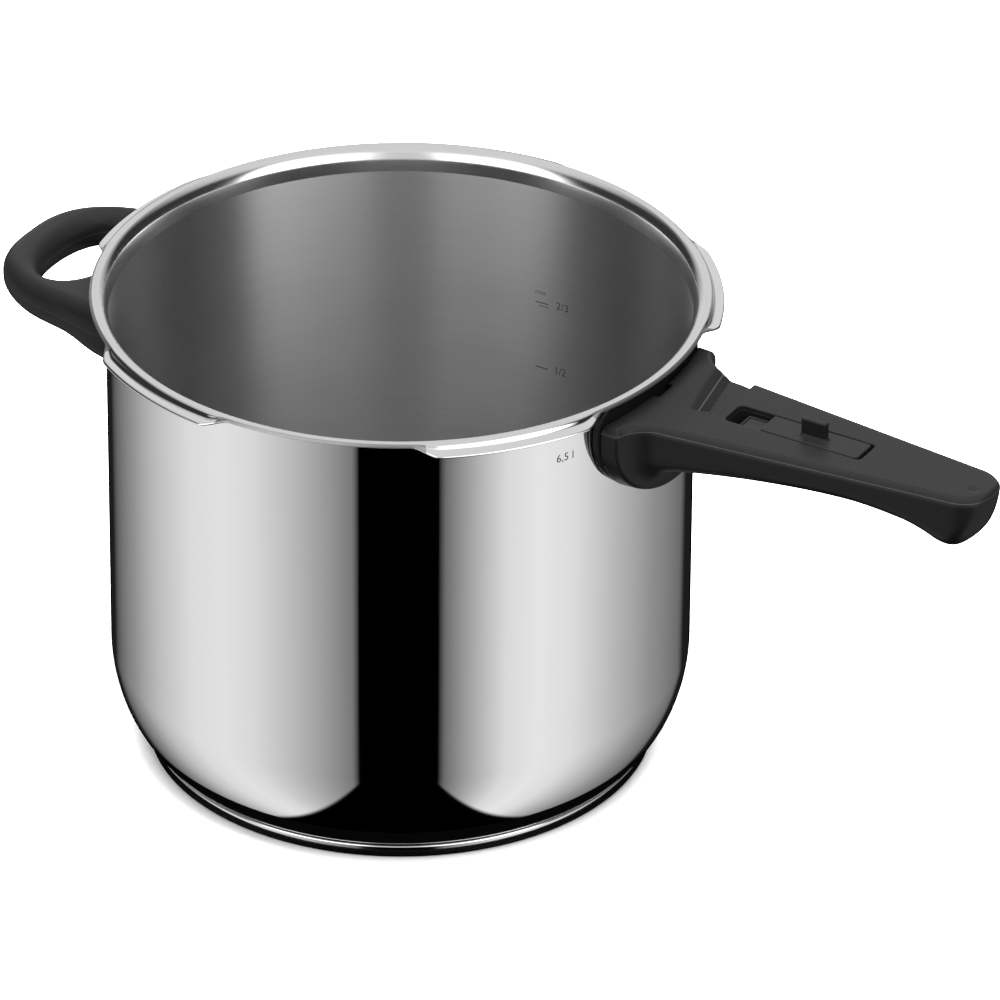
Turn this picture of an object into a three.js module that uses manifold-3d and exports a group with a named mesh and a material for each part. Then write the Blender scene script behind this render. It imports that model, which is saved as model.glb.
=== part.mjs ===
// Pot of a stovetop pressure cooker, with its long locking handle and its side handle.
// Millimetres, +Z up. The origin is the middle of the base, on the surface it stands on.
// +X runs along the long handle, and the side handle points along -X.
import * as THREE from 'three';
import { mergeVertices } from 'three/addons/utils/BufferGeometryUtils.js';
import Module from 'manifold-3d';

const wasm = await Module();
wasm.setup();

// Driving dimensions of the pot
const WALL_R = 111;
const SHEET = 1;
const STRAIGHT_WALL_Z = 43.3;
const RIM_Z = 191.4;
const FLANGE_R = 117;
const LUG_R = 121.5;
const LUG_COUNT = 5;
const LUG_FIRST = 34.2;
const LUG_HALF = 16.2;
const LUG_BLEND = 5.5;
const CAPSULE_R = 97.4;
const CAPSULE_Z = 5.3;
const CAPSULE_T = 0.8;
const CAPSULE_CORNER = 1.6;
const ROUND = 120;
const GAP = 0.3;

// Driving dimensions of the long handle
const GRIP_TOP = 181.5;
const GRIP_END = 254.3;
const GRIP_ROOT_TOP = 183;
const SHIELD_HALF = 36.8;
const SHIELD_MID_Z = 176;
const SHIELD_BOTTOM = 147;
const SHIELD_POWER = 2.2;
const COLLAR_IN = 111.4;
const COLLAR_OUT = 114;
const COLLAR_TOP = 189;
const COLLAR_CORNER = 9;
const COLLAR_WINDOW = { half: 15, z0: 157, z1: 179 };
const SHIELD_IN = 114.4;
const ROOT_NOTCH = { x0: 110, x1: 116.8, y0: -8.2, y1: 2.2, floor: 178.5, corner: 2 };
const TROUGH = { x0: 127.8, foot: 133.3, x1: 140.2, y0: -3.5, floor: 177.6, skew: 0.2, slant: 0.24 };
const SLOT = { x0: 143.5, x1: 200.6, half: 6.4, corner: 2 };
const SLIDE = { x0: 158.2, x1: 199.1, half: 5.9, t: 2.6, corner: 1.6 };
const SLIDE_FOOT = { x0: 192, x1: 196, half: 2.1, z0: 171.9 };
const TAB = { x0: 173.3, x1: 183.6, y0: -1.6, y1: 1.2, top: 188.8 };

// The guide block is a tray whose groove takes the slide's foot; the spring starts in its bore
const GUIDE = { x0: 147.5, x1: 197.6, half: 5.9, z0: 170.6, z1: 178.5, wall: 0.8, tray: 177.5 };
const GROOVE = { x0: 158.6, half: 2.9, floor: 171.5 };
const BORE = { x0: 150.2, r: 2.4 };
const PIN = { x0: 147.9, x1: 190.6, z: 174.6, r: 1 };
const SPRING = { x0: 150.9, x1: 191.2, r: 1.8, wireR: 0.3, turns: 13 };
const KEEPER = { x0: 138.5, x1: 206.5, half: 8.3, t: 1.9 };
const KEEPER_SCREWS = [{ x: 141.8, head: 163.4 }, { x: 203.2, head: 167.6 }];
const KEEPER_SCREW = { headR: 2.2, headH: 1.1, shankR: 1.2, length: 8, bore: 1.5 };

// The bracket welded to the wall, and the screw that clamps the handle to its tongue
const BRACKET = { outerR: 113.3, half: 14, z0: 158, z1: 178 };
const TONGUE = { x1: 135.5, half: 8, z0: 167, z1: 170.2 };
const TONGUE_POCKET = { x1: 137, half: 9.2, z0: 166.4, z1: 175.4 };
const SCREW_X = 127;
const SCREW = { headZ: 156.6, headR: 4.2, headH: 2.6, shankR: 2.35, endZ: 175, bore: 2.7 };
const SCREW_POCKET = { r: 5.3, top: 160.5 };
const WASHER = { z0: 159.4, z1: 160.2, r: 4.9, bore: 2.65 };
const NUT = { z0: 170.5, z1: 174, acrossFlats: 8 };

// Driving dimensions of the side handle
const LOOP_Z = 161.9;
const LOOP_HALF_HEIGHT = 7.7;
const LOOP = { root: 100, end: 170, half: 43.5, flare: 3.5, power: 2.7 };
const FINGER_HOLE = { x: 140.1, halfX: 14, halfY: 25.7, power: 2.2 };
const SIDE_BRACKET = { outerR: 113.3, half: 14, z0: 154.4, z1: 168.3 };
const SIDE_TONGUE = { x1: -120.4, half: 9, z0: 158.7, z1: 161.5 };
const SIDE_POCKET = { x1: -120.7, half: 9.4, z0: 158.4, z1: 165.6 };
const SIDE_SCREW_X = -117;
const SIDE_SCREW = { headZ: 153, headR: 3.2, headH: 2, shankR: 1.9, endZ: 165.2, bore: 2.2 };
const SIDE_SCREW_POCKET = { r: 4.4, top: 156.6 };
const SIDE_WASHER = { z0: 155.4, z1: 156.2, r: 3.3, bore: 2.2 };
const SIDE_NUT = { z0: 161.8, z1: 164.8, acrossFlats: 6.4 };

const AXES = {
  x: [new THREE.Vector3(0, 1, 0), new THREE.Vector3(0, 0, 1), new THREE.Vector3(1, 0, 0)],
  y: [new THREE.Vector3(1, 0, 0), new THREE.Vector3(0, 0, 1), new THREE.Vector3(0, -1, 0)],
  z: [new THREE.Vector3(1, 0, 0), new THREE.Vector3(0, 1, 0), new THREE.Vector3(0, 0, 1)],
};

// A closed geometry as a solid that can be joined and cut.
function solid(geometry) {
  const bare = geometry.clone();
  bare.deleteAttribute('normal');
  bare.deleteAttribute('uv');
  const merged = mergeVertices(bare, 1e-4);
  return new wasm.Manifold(new wasm.Mesh({
    numProp: 3,
    vertProperties: new Float32Array(merged.attributes.position.array),
    triVerts: new Uint32Array(merged.index.array),
  }));
}

function geometryOf(manifold) {
  const mesh = manifold.getMesh();
  const geometry = new THREE.BufferGeometry();
  geometry.setAttribute('position', new THREE.BufferAttribute(mesh.vertProperties, mesh.numProp));
  geometry.setIndex(new THREE.BufferAttribute(mesh.triVerts, 1));
  geometry.computeVertexNormals();
  return geometry;
}

// An outline extruded along one axis: its two coordinates are (y, z), (x, z) or (x, y).
function slab(shape, axis, from, to, curveSegments = 6) {
  const geometry = new THREE.ExtrudeGeometry(shape, {
    depth: to - from,
    bevelEnabled: false,
    curveSegments,
  });
  geometry.translate(0, 0, axis === 'y' ? -to : from);
  return geometry.applyMatrix4(new THREE.Matrix4().makeBasis(...AXES[axis]));
}

function polygon(points) {
  return new THREE.Shape(points.map(([a, b]) => new THREE.Vector2(a, b)));
}

function box(x0, x1, y0, y1, z0, z1) {
  const geometry = new THREE.BoxGeometry(x1 - x0, y1 - y0, z1 - z0);
  return geometry.translate((x0 + x1) / 2, (y0 + y1) / 2, (z0 + z1) / 2);
}

function roundedRect(a0, a1, b0, b1, r) {
  const shape = new THREE.Shape();
  shape.moveTo(a0 + r, b0);
  shape.lineTo(a1 - r, b0);
  shape.absarc(a1 - r, b0 + r, r, -Math.PI / 2, 0);
  shape.lineTo(a1, b1 - r);
  shape.absarc(a1 - r, b1 - r, r, 0, Math.PI / 2);
  shape.lineTo(a0 + r, b1);
  shape.absarc(a0 + r, b1 - r, r, Math.PI / 2, Math.PI);
  shape.lineTo(a0, b0 + r);
  shape.absarc(a0 + r, b0 + r, r, Math.PI, Math.PI * 1.5);
  return shape;
}

// A profile of (radius, height) points turned about the Z axis.
function turned(points, segments = ROUND) {
  const profile = points.map(([r, z]) => new THREE.Vector2(r, z));
  return new THREE.LatheGeometry(profile, segments).rotateX(Math.PI / 2);
}

function ring(r0, r1, z0, z1, segments = ROUND) {
  return turned([[r0, z0], [r1, z0], [r1, z1], [r0, z1], [r0, z0]], segments);
}

function upright(radius, x, y, z0, z1, segments = 20) {
  return turned([[0, z0], [radius, z0], [radius, z1], [0, z1]], segments).translate(x, y, 0);
}

// ---- Pot ---------------------------------------------------------------------------------------

// The wall and bottom share one profile; only the flange differs between plain rim and lug.
const BODY_OUT = [[0, 5.6], [96.8, 5.6], [98.4, 6.6], [103.2, 13.6], [108, 25], [WALL_R, STRAIGHT_WALL_Z]];
const BODY_IN = [[WALL_R - SHEET, STRAIGHT_WALL_Z], [107, 25.4], [102.4, 14.3], [97.6, 7.6], [0, 6.6]];
const UNDER_PLAIN = [[WALL_R, 187.4], [111.6, 189.3], [113.2, 190.2], [115.6, 190.1], [116.6, 189.7]];
const UNDER_LUG = [[WALL_R, 187.4], [111.6, 189.1], [113.6, 189.4], [116, 188.2], [120.4, 187.6]];
const EDGE_PLAIN = [[FLANGE_R, 189.9], [FLANGE_R, 190.3], [116.8, 190.7], [116.5, 191], [115.9, 191.2]];
const EDGE_LUG = [[LUG_R, 187.8], [121.1, 188.6], [119.8, 189], [117.2, 189.2], [116.6, 191]];
const RIM_IN = [[113.4, RIM_Z], [111.8, 190.9], [110.5, 189.6], [WALL_R - SHEET, 187.9]];

function lugWeight(azimuth) {
  const pitch = 360 / LUG_COUNT;
  const shifted = THREE.MathUtils.euclideanModulo(azimuth - LUG_FIRST + pitch / 2, pitch);
  const fromLug = Math.abs(shifted - pitch / 2);
  return 1 - THREE.MathUtils.smoothstep(fromLug, LUG_HALF - LUG_BLEND / 2, LUG_HALF + LUG_BLEND / 2);
}

function potShell() {
  const plain = [...BODY_OUT, ...UNDER_PLAIN, ...EDGE_PLAIN, ...RIM_IN, ...BODY_IN];
  const lug = [...BODY_OUT, ...UNDER_LUG, ...EDGE_LUG, ...RIM_IN, ...BODY_IN];
  const geometry = turned(plain);
  const position = geometry.attributes.position;
  for (let i = 0; i < position.count; i += 1) {
    const j = i % plain.length;
    const angle = Math.atan2(position.getY(i), position.getX(i));
    const weight = lugWeight(THREE.MathUtils.radToDeg(angle));
    const r = THREE.MathUtils.lerp(plain[j][0], lug[j][0], weight);
    const z = THREE.MathUtils.lerp(plain[j][1], lug[j][1], weight);
    position.setXYZ(i, r * Math.cos(angle), r * Math.sin(angle), z);
  }
  return geometry;
}

function baseCapsule() {
  const inner = CAPSULE_R - CAPSULE_T;
  return turned([
    [0, 0],
    [CAPSULE_R - CAPSULE_CORNER, 0],
    [CAPSULE_R - CAPSULE_CORNER / 4, CAPSULE_CORNER / 2],
    [CAPSULE_R, CAPSULE_CORNER],
    [CAPSULE_R, CAPSULE_Z],
    [inner, CAPSULE_Z],
    [inner, CAPSULE_T + 1],
    [inner - 1, CAPSULE_T],
    [0, CAPSULE_T],
  ], 72);
}

function baseCore() {
  const r = CAPSULE_R - CAPSULE_T - GAP;
  const z0 = CAPSULE_T + GAP;
  return turned([[0, z0], [r - 1, z0], [r, z0 + 1], [r, CAPSULE_Z - 0.1], [0, CAPSULE_Z - 0.1]], 72);
}

// ---- Long handle -------------------------------------------------------------------------------

// Tools longer than the pieces they cut run between these coordinates
const FAR_DOWN = 130;
const FAR_UP = 200;
const FAR_OUT = 300;

// Outline of the flame guard and of the handle's root, seen along X: straight sides, a rounded bottom.
function shieldOutline(halfWidth, bottom, top, corner) {
  const points = [];
  const steps = 20;
  for (let i = 0; i <= steps; i += 1) {
    const angle = Math.PI * i / steps;
    const y = halfWidth * Math.sign(Math.cos(angle)) * Math.abs(Math.cos(angle)) ** (2 / SHIELD_POWER);
    const z = SHIELD_MID_Z - (SHIELD_MID_Z - bottom) * Math.sin(angle) ** (2 / SHIELD_POWER);
    points.push([-y, z]);
  }
  const shape = polygon(points);
  shape.lineTo(halfWidth, top - corner);
  shape.absarc(halfWidth - corner, top - corner, corner, 0, Math.PI / 2);
  shape.lineTo(corner - halfWidth, top);
  shape.absarc(corner - halfWidth, top - corner, corner, Math.PI / 2, Math.PI);
  return shape;
}

// The flame guard hugs the wall; its top edge is chamfered to clear the bend of the flange.
function handleCollar() {
  const outline = shieldOutline(SHIELD_HALF, SHIELD_BOTTOM, COLLAR_TOP, COLLAR_CORNER);
  const band = turned([
    [COLLAR_IN, FAR_DOWN],
    [COLLAR_OUT, FAR_DOWN],
    [COLLAR_OUT, COLLAR_TOP],
    [COLLAR_IN + 1, COLLAR_TOP],
    [COLLAR_IN, COLLAR_TOP - 2.2],
    [COLLAR_IN, FAR_DOWN],
  ]);
  const plate = solid(slab(outline, 'x', 0, FAR_OUT)).intersect(solid(band));
  const { half, z0, z1 } = COLLAR_WINDOW;
  return geometryOf(plate.subtract(solid(box(0, FAR_OUT, -half, half, z0, z1))));
}

// The grip seen from the side: flat top, hollowed underside and the bulge that stops the hand.
function gripSide() {
  const shape = new THREE.Shape();
  shape.moveTo(105, GRIP_ROOT_TOP);
  shape.lineTo(115, GRIP_ROOT_TOP);
  shape.quadraticCurveTo(119, GRIP_TOP, 127, GRIP_TOP);
  shape.lineTo(GRIP_END - 4, GRIP_TOP);
  shape.quadraticCurveTo(GRIP_END, GRIP_TOP, GRIP_END, 177);
  const underside = [
    [252, 169], [246, 161.5], [238, 158.8], [229, 162.3], [213, 166.4], [189, 167.6],
    [158, 165.6], [138, 162.4], [128, 157.5], [121, 150.5], [115, SHIELD_BOTTOM],
  ];
  shape.splineThru(underside.map(([x, z]) => new THREE.Vector2(x, z)));
  shape.lineTo(105, SHIELD_BOTTOM);
  return shape;
}

// The grip seen from above: a flared root, straight sides that draw in, and a round end.
function gripPlan() {
  const endR = 14;
  const shape = new THREE.Shape();
  shape.moveTo(100, -SHIELD_HALF);
  shape.lineTo(115.2, -SHIELD_HALF);
  shape.bezierCurveTo(118, -31, 120, -26.5, 131, -25.6);
  shape.lineTo(GRIP_END - endR - 2, -endR);
  shape.absarc(GRIP_END - endR, 0, endR, -Math.PI / 2, Math.PI / 2);
  shape.lineTo(131, 25.6);
  shape.bezierCurveTo(120, 26.5, 118, 31, 115.2, SHIELD_HALF);
  shape.lineTo(100, SHIELD_HALF);
  return shape;
}

// The keeper fits a recess that follows the underside, so both are cut from the same side outline.
function undersideSkin(margin, thickness) {
  const half = KEEPER.half + margin;
  const block = solid(box(KEEPER.x0 - margin, KEEPER.x1 + margin, -half, half, FAR_DOWN, 173));
  const raised = solid(slab(gripSide(), 'y', -60, 60).translate(0, 0, thickness));
  return block.subtract(raised);
}

function longHandle() {
  let body = solid(slab(gripPlan(), 'z', FAR_DOWN, FAR_UP));
  body = body.intersect(solid(slab(gripSide(), 'y', -60, 60)));
  const front = shieldOutline(SHIELD_HALF, SHIELD_BOTTOM, GRIP_ROOT_TOP + 5, 2);
  body = body.intersect(solid(slab(front, 'x', 0, FAR_OUT)));
  const notch = roundedRect(ROOT_NOTCH.x0, ROOT_NOTCH.x1, ROOT_NOTCH.y0, ROOT_NOTCH.y1, ROOT_NOTCH.corner);
  const pocket = TONGUE_POCKET;
  const cuts = [
    turned([[0, FAR_DOWN], [SHIELD_IN, FAR_DOWN], [SHIELD_IN, FAR_UP], [0, FAR_UP]]),
    slab(roundedRect(SLOT.x0, SLOT.x1, -SLOT.half, SLOT.half, SLOT.corner), 'z', FAR_DOWN, FAR_UP),
    slab(notch, 'z', ROOT_NOTCH.floor, FAR_UP),
    box(0, pocket.x1, -pocket.half, pocket.half, pocket.z0, pocket.z1),
    upright(SCREW_POCKET.r, SCREW_X, 0, FAR_DOWN, SCREW_POCKET.top),
    upright(SCREW.bore, SCREW_X, 0, FAR_DOWN, pocket.z0 + 1),
    ...KEEPER_SCREWS.map(({ x }) => upright(KEEPER_SCREW.bore, x, 0, FAR_DOWN, 176)),
  ];
  for (const cut of cuts) body = body.subtract(solid(cut));
  return geometryOf(body.subtract(trough()).subtract(undersideSkin(GAP, KEEPER.t + GAP)));
}

// A shallow trough across the far part of the top: a slope that runs a little askew, a floor and a step.
function trough() {
  const { x0, foot, x1, y0, floor, skew, slant } = TROUGH;
  const far = 45;
  const end = x1 + far;
  const side = polygon([[x0 - 1, FAR_UP], [x0, GRIP_TOP], [foot, floor], [end, floor], [end, FAR_UP]]);
  const lean = new THREE.Matrix4().makeShear(0, 0, -skew, 0, 0, 0);
  const plan = polygon([[x1, y0], [x1, far], [x1 - far, far], [x1 - far, y0 - slant * far]]);
  return solid(slab(side, 'y', -far, far).applyMatrix4(lean)).intersect(solid(slab(plan, 'z', 170, FAR_UP)));
}

function longBracket() {
  const { outerR, half, z0, z1 } = BRACKET;
  const band = solid(ring(WALL_R + GAP, outerR, z0, z1));
  const plate = band.intersect(solid(box(100, 125, -half, half, z0 - 1, z1 + 1)));
  const tongue = solid(box(WALL_R + 1, TONGUE.x1, -TONGUE.half, TONGUE.half, TONGUE.z0, TONGUE.z1));
  const hole = solid(upright(SCREW.bore, SCREW_X, 0, TONGUE.z0 - 1, TONGUE.z1 + 1));
  return geometryOf(plate.add(tongue).subtract(hole));
}

function hexNut(x, { z0, z1, acrossFlats }, bore) {
  const corner = acrossFlats / Math.sqrt(3);
  const nut = solid(upright(corner, x, 0, z0, z1, 6)).subtract(solid(upright(bore, x, 0, z0 - 1, z1 + 1)));
  return geometryOf(nut);
}

// A pan-head screw that points up, with its head below.
function screw(x, { headZ, headR, headH, shankR, endZ }) {
  return turned([
    [0, headZ + 0.8],
    [headR * 0.35, headZ + 0.8],
    [headR * 0.35, headZ],
    [headR - 0.5, headZ],
    [headR, headZ + 0.5],
    [headR, headZ + headH],
    [shankR, headZ + headH],
    [shankR, endZ - 0.6],
    [shankR - 0.5, endZ],
    [0, endZ],
  ], 20).translate(x, 0, 0);
}

function washer(x, { z0, z1, r, bore }) {
  return ring(bore, r, z0, z1, 24).translate(x, 0, 0);
}

// A round bar along X at the height of the spring's pin.
function levelBar(radius, x0, x1) {
  return upright(radius, 0, 0, x0, x1).rotateY(Math.PI / 2).translate(0, 0, PIN.z);
}

function lockingSlide() {
  const plateZ = GRIP_TOP - SLIDE.t;
  const outline = roundedRect(SLIDE.x0, SLIDE.x1, -SLIDE.half, SLIDE.half, SLIDE.corner);
  const plate = solid(slab(outline, 'z', plateZ, GRIP_TOP));
  const tab = solid(box(TAB.x0, TAB.x1, TAB.y0, TAB.y1, GRIP_TOP - 0.5, TAB.top));
  const { x0, x1, half, z0 } = SLIDE_FOOT;
  const foot = solid(box(x0, x1, -half, half, z0, plateZ + 0.5));
  const pinWay = solid(levelBar(PIN.r + 0.5, x0 - 2, x1 + 2));
  return geometryOf(plate.add(tab).add(foot.subtract(pinWay)));
}

function guideBlock() {
  const { x0, x1, half, z0, z1, wall, tray } = GUIDE;
  let body = solid(slab(roundedRect(x0, x1, -half, half, 1), 'z', z0, z1));
  const inner = half - wall;
  const cuts = [
    box(x0 + wall, x1 - wall, -inner, inner, tray, FAR_UP),
    box(GROOVE.x0, x1 - 1, -GROOVE.half, GROOVE.half, GROOVE.floor, FAR_UP),
    levelBar(BORE.r, BORE.x0, GROOVE.x0 + 1),
    levelBar(PIN.r + GAP, x0 - 1, BORE.x0 + 1),
  ];
  for (const cut of cuts) body = body.subtract(solid(cut));
  return geometryOf(body);
}

function springPin() {
  return levelBar(PIN.r, PIN.x0, PIN.x1);
}

class Helix extends THREE.Curve {
  constructor(radius, turns, x0, x1) {
    super();
    Object.assign(this, { radius, turns, x0, x1 });
  }

  getPoint(t, target = new THREE.Vector3()) {
    const angle = 2 * Math.PI * this.turns * t;
    const x = THREE.MathUtils.lerp(this.x0, this.x1, t);
    return target.set(x, this.radius * Math.cos(angle), PIN.z + this.radius * Math.sin(angle));
  }
}

function slideSpring() {
  const { x0, x1, r, wireR, turns } = SPRING;
  const corners = [0, 1, 2, 3, 4].map((i) => 2 * Math.PI * i / 5);
  const wire = polygon(corners.map((angle) => [wireR * Math.cos(angle), wireR * Math.sin(angle)]));
  const path = new Helix(r, turns, x0, x1);
  return new THREE.ExtrudeGeometry(wire, { steps: turns * 8, extrudePath: path });
}

function slideKeeper() {
  const outline = solid(slab(gripSide(), 'y', -60, 60));
  let keeper = undersideSkin(0, KEEPER.t).intersect(outline);
  for (const { x, head } of KEEPER_SCREWS) {
    const seat = head + KEEPER_SCREW.headH + GAP;
    keeper = keeper.subtract(solid(upright(KEEPER_SCREW.bore, x, 0, FAR_DOWN, 175)));
    keeper = keeper.subtract(solid(upright(KEEPER_SCREW.headR + 0.4, x, 0, FAR_DOWN, seat)));
  }
  return geometryOf(keeper);
}

// ---- Side handle -------------------------------------------------------------------------------

// A superellipse, from one angle to another: pointed at neither end, squarer as its power rises.
function superellipse(x, halfX, halfY, power, from, to, steps) {
  const bend = (value) => Math.sign(value) * Math.abs(value) ** (2 / power);
  const points = [];
  for (let i = 0; i <= steps; i += 1) {
    const angle = THREE.MathUtils.lerp(from, to, i / steps);
    points.push([x + halfX * bend(Math.cos(angle)), halfY * bend(Math.sin(angle))]);
  }
  return points;
}

// The loop seen along Y: level over the fingers, deeper where it meets the wall.
function loopSide() {
  const top = LOOP_Z + LOOP_HALF_HEIGHT;
  const bottom = LOOP_Z - LOOP_HALF_HEIGHT;
  const end = -LOOP.end;
  return polygon([
    [-90, top + 1.5], [-118, top + 1.2], [-140, top], [end + 6, top], [end + 1.6, top - 3], [end, LOOP_Z],
    [end + 1.6, bottom + 3], [end + 6, bottom], [-145, bottom - 0.5], [-125, bottom - 0.8],
    [-110, bottom - 3.7], [-90, bottom - 6.6],
  ]);
}

// The loop's outer edge widens a little towards the wall.
function loopPlan() {
  const quarter = Math.PI / 2;
  const oval = superellipse(-LOOP.root, LOOP.root - LOOP.end, LOOP.half, LOOP.power, quarter, -quarter, 28);
  const near = [-90, -95];
  const edge = [...near.map((x) => [x, LOOP.half]), ...oval, ...near.reverse().map((x) => [x, -LOOP.half])];
  return polygon(edge.map(([x, y]) => {
    const widened = 1 + LOOP.flare / LOOP.half * THREE.MathUtils.smoothstep(x, -130, -104);
    return [x, y * widened];
  }));
}

function sideHandle() {
  const { x, halfX, halfY, power } = FINGER_HOLE;
  const hole = superellipse(-x, halfX, halfY, power, 0, 2 * Math.PI, 32).slice(1);
  let loop = solid(slab(loopPlan(), 'z', FAR_DOWN, FAR_UP));
  loop = loop.intersect(solid(slab(loopSide(), 'y', -60, 60)));
  const plate = SIDE_BRACKET;
  const way = plate.half + GAP;
  const plateBand = solid(ring(90, plate.outerR + GAP, plate.z0 - GAP, plate.z1 + GAP));
  const plateWay = plateBand.intersect(solid(box(-FAR_OUT, 0, -way, way, FAR_DOWN, FAR_UP)));
  const pocket = SIDE_POCKET;
  const cuts = [
    slab(polygon(hole), 'z', FAR_DOWN, FAR_UP),
    turned([[0, FAR_DOWN], [COLLAR_IN, FAR_DOWN], [COLLAR_IN, FAR_UP], [0, FAR_UP]]),
    box(pocket.x1, -100, -pocket.half, pocket.half, pocket.z0, pocket.z1),
    upright(SIDE_SCREW_POCKET.r, SIDE_SCREW_X, 0, FAR_DOWN, SIDE_SCREW_POCKET.top),
    upright(SIDE_SCREW.bore, SIDE_SCREW_X, 0, FAR_DOWN, pocket.z0 + 1),
  ];
  for (const cut of cuts) loop = loop.subtract(solid(cut));
  return geometryOf(loop.subtract(plateWay));
}

function sideBracket() {
  const { outerR, half, z0, z1 } = SIDE_BRACKET;
  const band = solid(ring(WALL_R + GAP, outerR, z0, z1));
  const plate = band.intersect(solid(box(-125, -100, -half, half, z0 - 1, z1 + 1)));
  const blade = SIDE_TONGUE;
  const tongue = solid(box(blade.x1, -WALL_R - 1, -blade.half, blade.half, blade.z0, blade.z1));
  const hole = solid(upright(SIDE_SCREW.bore, SIDE_SCREW_X, 0, blade.z0 - 1, blade.z1 + 1));
  return geometryOf(plate.add(tongue).subtract(hole));
}

// ---- Assembly ----------------------------------------------------------------------------------

const FINISHES = {
  polished_steel: { color: 0xd8dadc, roughness: 0.08, metalness: 1 },
  plain_steel: { color: 0xb4b6b8, roughness: 0.35, metalness: 1 },
  aluminium: { color: 0xc8cacc, roughness: 0.45, metalness: 1 },
  black_plastic: { color: 0x2b2b2c, roughness: 0.55, metalness: 0 },
  spring_steel: { color: 0x9a9c9e, roughness: 0.3, metalness: 1 },
};

const group = new THREE.Group();

function part(name, geometry, finish) {
  const mesh = new THREE.Mesh(geometry, new THREE.MeshStandardMaterial(FINISHES[finish]));
  mesh.name = name;
  group.add(mesh);
}

part('pot_shell', potShell(), 'polished_steel');
part('base_core', baseCore(), 'aluminium');
part('base_capsule', baseCapsule(), 'polished_steel');
part('handle_collar', handleCollar(), 'black_plastic');
part('long_handle', longHandle(), 'black_plastic');
part('long_bracket', longBracket(), 'plain_steel');
part('long_bracket_nut', hexNut(SCREW_X, NUT, SCREW.bore), 'plain_steel');
part('handle_screw', screw(SCREW_X, SCREW), 'plain_steel');
part('handle_washer', washer(SCREW_X, WASHER), 'plain_steel');
part('locking_slide', lockingSlide(), 'black_plastic');
part('guide_block', guideBlock(), 'black_plastic');
part('spring_pin', springPin(), 'plain_steel');
part('slide_spring', slideSpring(), 'spring_steel');
part('slide_keeper', slideKeeper(), 'black_plastic');
for (const [i, { x, head }] of KEEPER_SCREWS.entries()) {
  const size = { ...KEEPER_SCREW, headZ: head, endZ: head + KEEPER_SCREW.length };
  part(`keeper_screw_${i + 1}`, screw(x, size), 'plain_steel');
}
part('side_handle', sideHandle(), 'black_plastic');
part('side_bracket', sideBracket(), 'plain_steel');
part('side_nut', hexNut(SIDE_SCREW_X, SIDE_NUT, SIDE_SCREW.bore), 'plain_steel');
part('side_screw', screw(SIDE_SCREW_X, SIDE_SCREW), 'plain_steel');
part('side_washer', washer(SIDE_SCREW_X, SIDE_WASHER), 'plain_steel');

export default group;
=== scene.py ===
"""Looks of the pressure cooker pot: polished and brushed steel, moulded black handles, studio light."""
import math

import bpy
import numpy as np
from mathutils import Matrix, Vector


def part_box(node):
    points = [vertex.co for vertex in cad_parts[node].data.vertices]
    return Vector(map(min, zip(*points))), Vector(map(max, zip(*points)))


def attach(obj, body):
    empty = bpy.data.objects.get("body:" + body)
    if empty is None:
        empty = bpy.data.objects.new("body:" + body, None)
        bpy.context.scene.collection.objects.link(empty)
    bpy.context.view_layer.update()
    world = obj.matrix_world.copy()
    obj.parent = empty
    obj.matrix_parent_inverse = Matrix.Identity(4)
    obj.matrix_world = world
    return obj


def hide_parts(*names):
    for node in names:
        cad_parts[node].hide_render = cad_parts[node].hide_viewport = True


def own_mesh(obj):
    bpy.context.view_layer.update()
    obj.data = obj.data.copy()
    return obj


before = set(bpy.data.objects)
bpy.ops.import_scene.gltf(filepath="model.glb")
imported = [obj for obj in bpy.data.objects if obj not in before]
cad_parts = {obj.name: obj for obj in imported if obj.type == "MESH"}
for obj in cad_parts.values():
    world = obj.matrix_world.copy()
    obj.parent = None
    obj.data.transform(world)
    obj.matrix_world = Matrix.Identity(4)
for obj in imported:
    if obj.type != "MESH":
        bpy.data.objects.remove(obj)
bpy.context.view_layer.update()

MM = 0.001
SHELL_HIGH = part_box("pot_shell")[1]
GRIP_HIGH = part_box("long_handle")[1]
LOOP_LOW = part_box("side_handle")[0]
SLIDE_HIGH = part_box("locking_slide")[1]

# Camera, in degrees and metres
CAMERA_AT = (1.5428, -2.5143, 1.8399)
CAMERA_AZIMUTH = -59.2
CAMERA_ELEVATION = 30.54
CAMERA_ROLL = 0.435
CAMERA_LENS = 324
SENSOR = 36

# Pot, in millimetres
RIM_Z = SHELL_HIGH.z / MM
WALL_R = 111.0
SHEET = 1.0
LUG_R = 121.5
LUG_COUNT = 5
LUG_FIRST = 34.2
LUG_HALF = 16.2
LUG_BLEND = 5.5
CORNER_Z = 43.3
CORNER_RADII = (40.0, 50.0)
BASE_Z = 5.6
CAPSULE_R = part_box("base_capsule")[1].x / MM
CAPSULE_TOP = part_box("base_capsule")[1].z / MM
CAPSULE_CORNER = 1.6
CAPSULE_SHEET = 0.8
CAPSULE_STEPS = 480
RIM_STEPS = 3
TURNS = 720

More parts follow.
